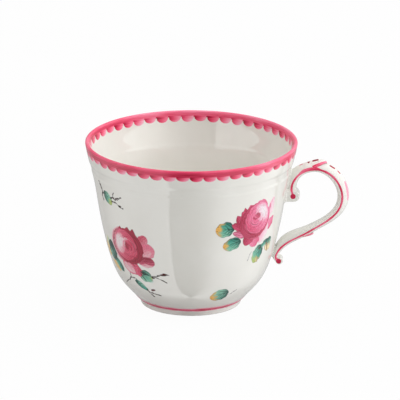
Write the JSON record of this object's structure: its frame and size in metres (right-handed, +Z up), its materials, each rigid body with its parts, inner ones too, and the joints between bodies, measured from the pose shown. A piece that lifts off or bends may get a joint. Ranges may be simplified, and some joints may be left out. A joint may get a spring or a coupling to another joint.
{
  "type": "teacup",
  "caption": "Porcelain teacup: thin bell-shaped bowl on a low foot ring, with a cast scroll handle for one finger and painted rose sprays.",
  "frame": {"origin": "middle of the object's footprint, on the plane that the foot stands on; the cup's own axis is 11.0 mm from it, towards -X", "axes": "+Z up out of the cup's mouth, +X towards the handle, Y across the handle"},
  "size_m": [0.112, 0.09, 0.0714],
  "materials": {
    "porcelain": "glossy",
    "pink_enamel": "glossy",
    "painted_sprays": "glossy"
  },
  "bodies": {
    "root": {"bowl": "porcelain", "foot_ring": "porcelain", "handle_loop": "porcelain", "upper_volute": "porcelain", "handle_tail": "porcelain", "tail_scroll": "porcelain", "thumb_leaf": "porcelain", "lower_leaf": "porcelain", "upper_slip_joint": "porcelain", "lower_slip_joint": "porcelain"}
  },
  "joints": []
}
